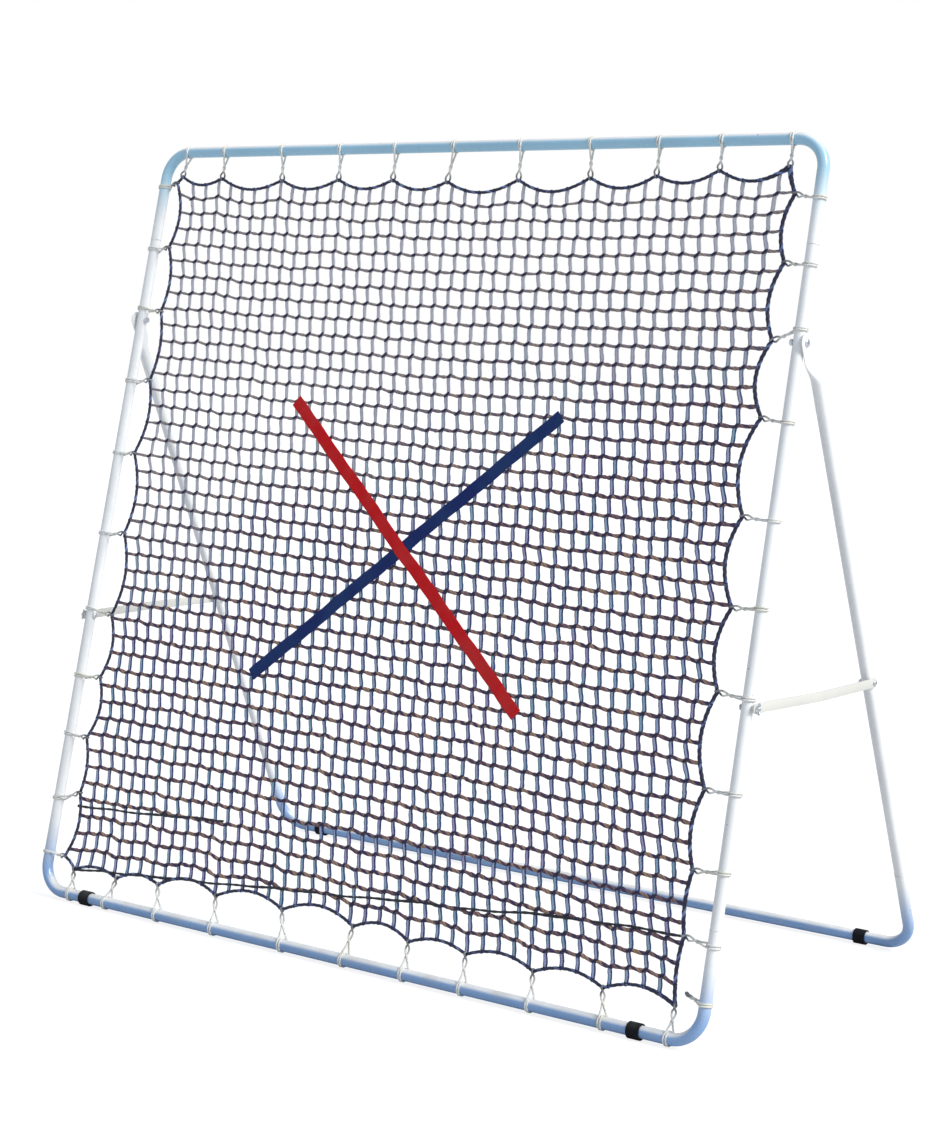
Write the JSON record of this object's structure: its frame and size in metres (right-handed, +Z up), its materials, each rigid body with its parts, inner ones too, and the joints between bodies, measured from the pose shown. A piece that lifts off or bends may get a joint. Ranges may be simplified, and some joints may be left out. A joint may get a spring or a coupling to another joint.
{
  "type": "rebound net",
  "caption": "Free-standing rebound net: square tube frame leaning back on a folding rear stand, with a knotted net held by elastic ties and a crossed strap target.",
  "frame": {"origin": "on the floor, midway between the front and rear bars and between the two sides", "axes": "+Z up, +X to the right across the net, the net faces -Y and the stand is behind it at +Y"},
  "size_m": [1.8946, 0.934, 1.7924],
  "materials": {
    "white_paint": "gloss powder coat",
    "zinc": "zinc plated",
    "white_nylon": "moulded",
    "black_rubber": "matt",
    "navy_cord": "braided cord",
    "white_elastic": "braided elastic cord",
    "red_webbing": "woven webbing",
    "navy_webbing": "woven webbing"
  },
  "bodies": {
    "frame": {"top_bow": "white_paint", "bottom_bow": "white_paint", "left_upright": "white_paint", "right_upright": "white_paint", "left_pivot_spacer": "white_nylon", "left_pivot_bolt": "zinc", "left_pivot_nut": "zinc", "left_stud_spacer": "white_nylon", "left_stay_stud": "zinc", "front_left_foot": "black_rubber", "right_pivot_spacer": "white_nylon", "right_pivot_bolt": "zinc", "right_pivot_nut": "zinc", "right_stud_spacer": "white_nylon", "right_stay_stud": "zinc", "front_right_foot": "black_rubber", "net_mesh": "navy_cord", "top_edge_rope": "white_elastic", "bottom_edge_rope": "white_elastic", "left_edge_rope": "white_elastic", "right_edge_rope": "white_elastic", "navy_strap": "navy_webbing", "red_strap": "red_webbing"},
    "stand": {"left_leg": "white_paint", "right_leg": "white_paint", "rear_bow": "white_paint", "rear_left_foot": "black_rubber", "rear_right_foot": "black_rubber", "left_stay_bolt": "zinc", "right_stay_bolt": "zinc", "left_stay_nut": "zinc", "right_stay_nut": "zinc"},
    "left_stay": {"left_stay": "white_paint"},
    "right_stay": {"right_stay": "white_paint"},
    "left_wing_nut": {"left_wing_nut": "zinc"},
    "right_wing_nut": {"right_wing_nut": "zinc"}
  },
  "joints": [
    {"name": "stand_fold", "type": "hinge", "parent": "frame", "child": "stand", "pos_m": [0, -0.15837, 1.36583], "axis": [-1, 0, 0], "range_deg": [0, 30]},
    {"name": "left_stay_swing", "type": "hinge", "parent": "stand", "child": "left_stay", "pos_m": [0, 0.16384, 0.65145], "axis": [-1, 0, 0], "range_deg": [0, 60]},
    {"name": "right_stay_swing", "type": "hinge", "parent": "stand", "child": "right_stay", "pos_m": [0, 0.16384, 0.65145], "axis": [-1, 0, 0], "range_deg": [0, 60]},
    {"name": "left_wing_spin", "type": "hinge", "parent": "frame", "child": "left_wing_nut", "pos_m": [-0.9285, -0.31222, 0.65428], "axis": [-1, 0, 0], "continuous": true},
    {"name": "right_wing_spin", "type": "hinge", "parent": "frame", "child": "right_wing_nut", "pos_m": [0.9285, -0.31222, 0.65428], "axis": [1, 0, 0], "continuous": true}
  ],
  "couplings": [
    {"joint": "left_stay_swing", "follows": "stand_fold", "ratio": 2},
    {"joint": "right_stay_swing", "follows": "stand_fold", "ratio": 2}
  ]
}
